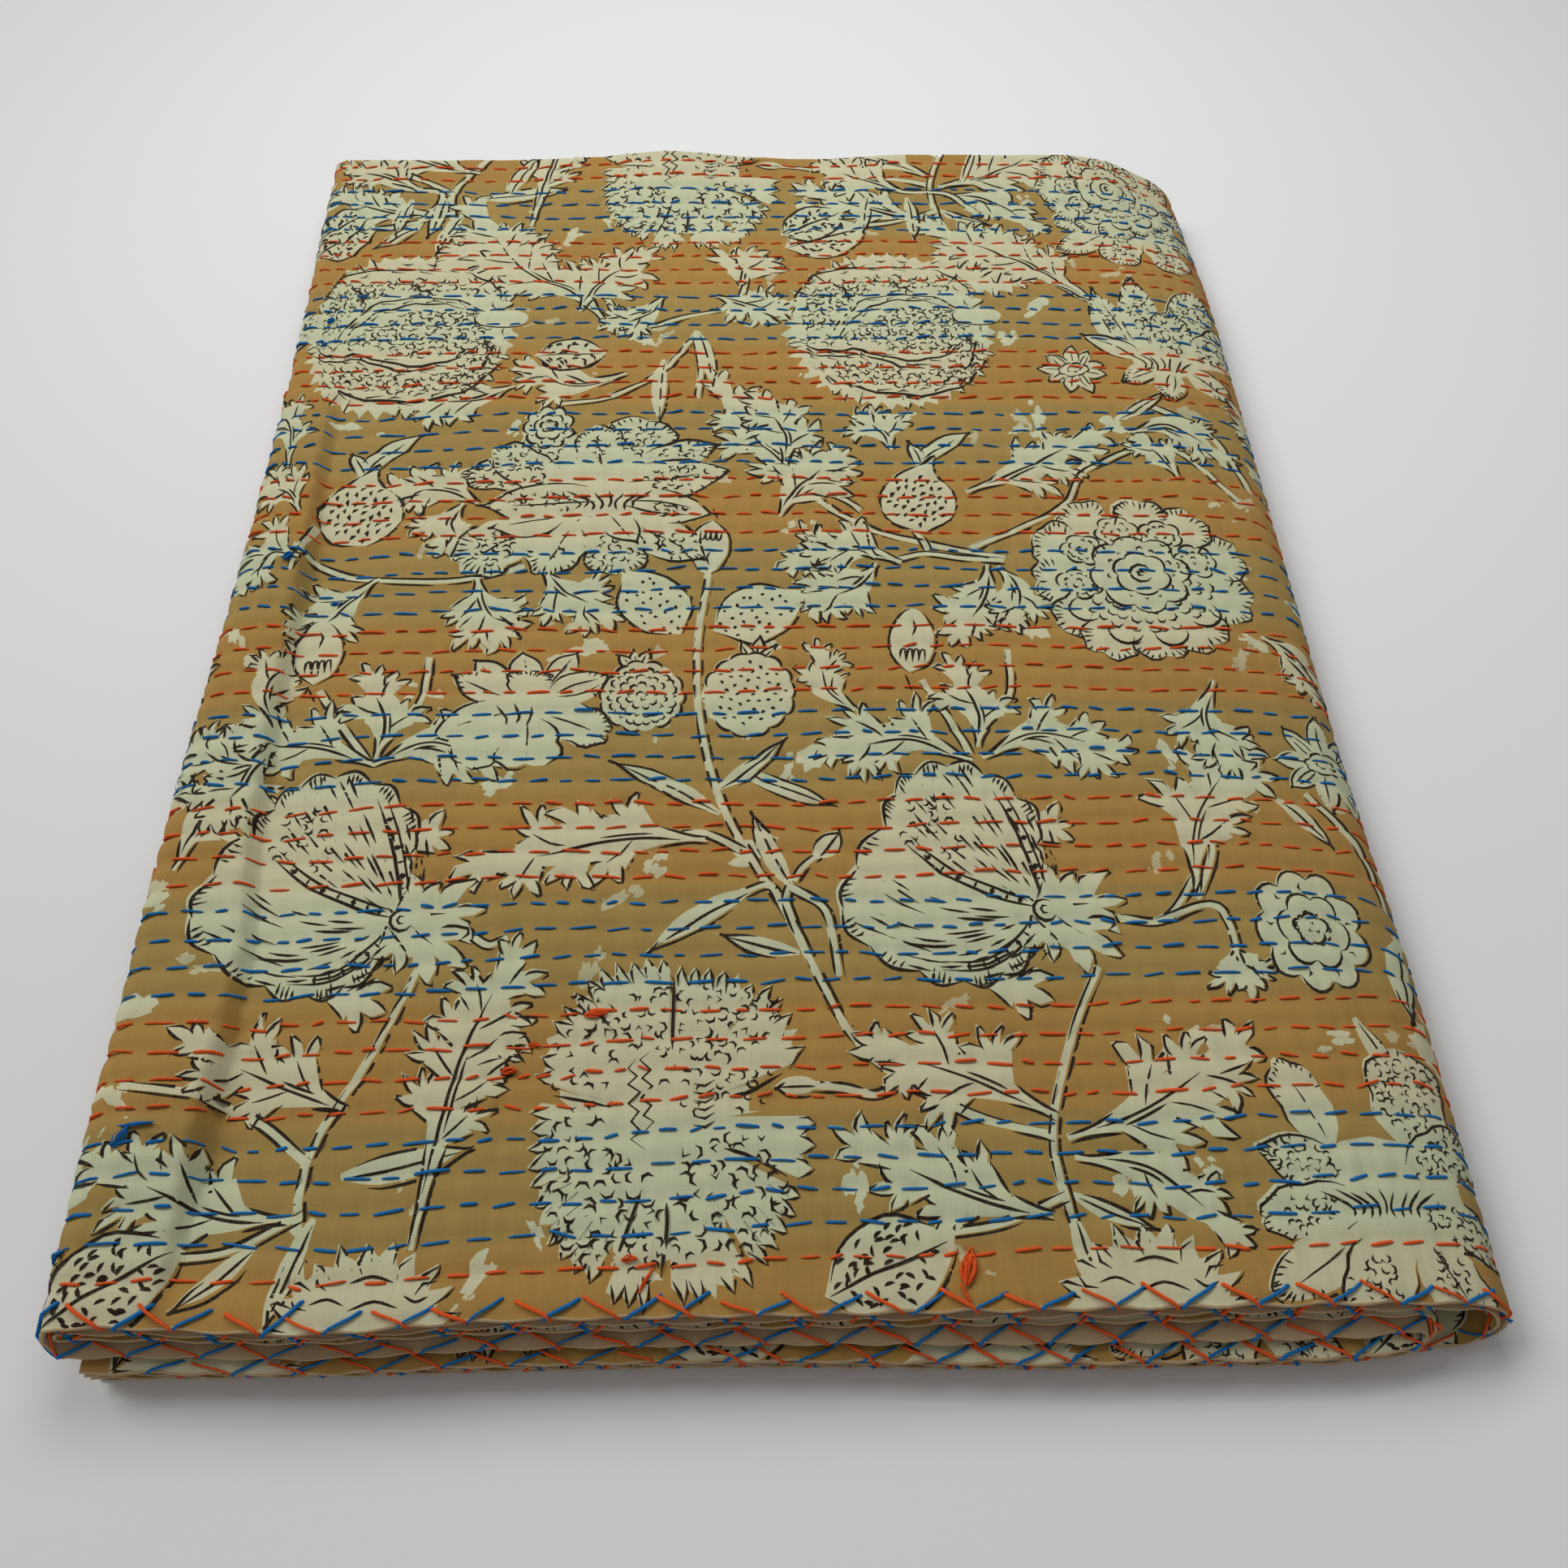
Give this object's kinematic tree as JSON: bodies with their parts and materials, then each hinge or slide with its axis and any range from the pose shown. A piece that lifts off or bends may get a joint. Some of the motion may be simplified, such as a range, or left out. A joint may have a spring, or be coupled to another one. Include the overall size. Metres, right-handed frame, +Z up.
{
  "type": "kantha quilt, folded",
  "caption": "Flat-folded cotton kantha quilt with rows of running stitch, its stacked hems at the front and a rounded folded spine on the right.",
  "frame": {"origin": "on the surface it lies on, under the middle of the folded pack", "axes": "+X to the right along the front hems, +Y back towards the first fold, +Z up"},
  "size_m": [0.5855, 0.7855, 0.0421],
  "materials": {
    "quilted_cotton": "mustard cotton printed with cream flowers in dark outline, plain cream reverse, soft and matt, with a fine plain weave"
  },
  "bodies": {
    "root": {"quilt": "quilted_cotton"}
  },
  "joints": []
}
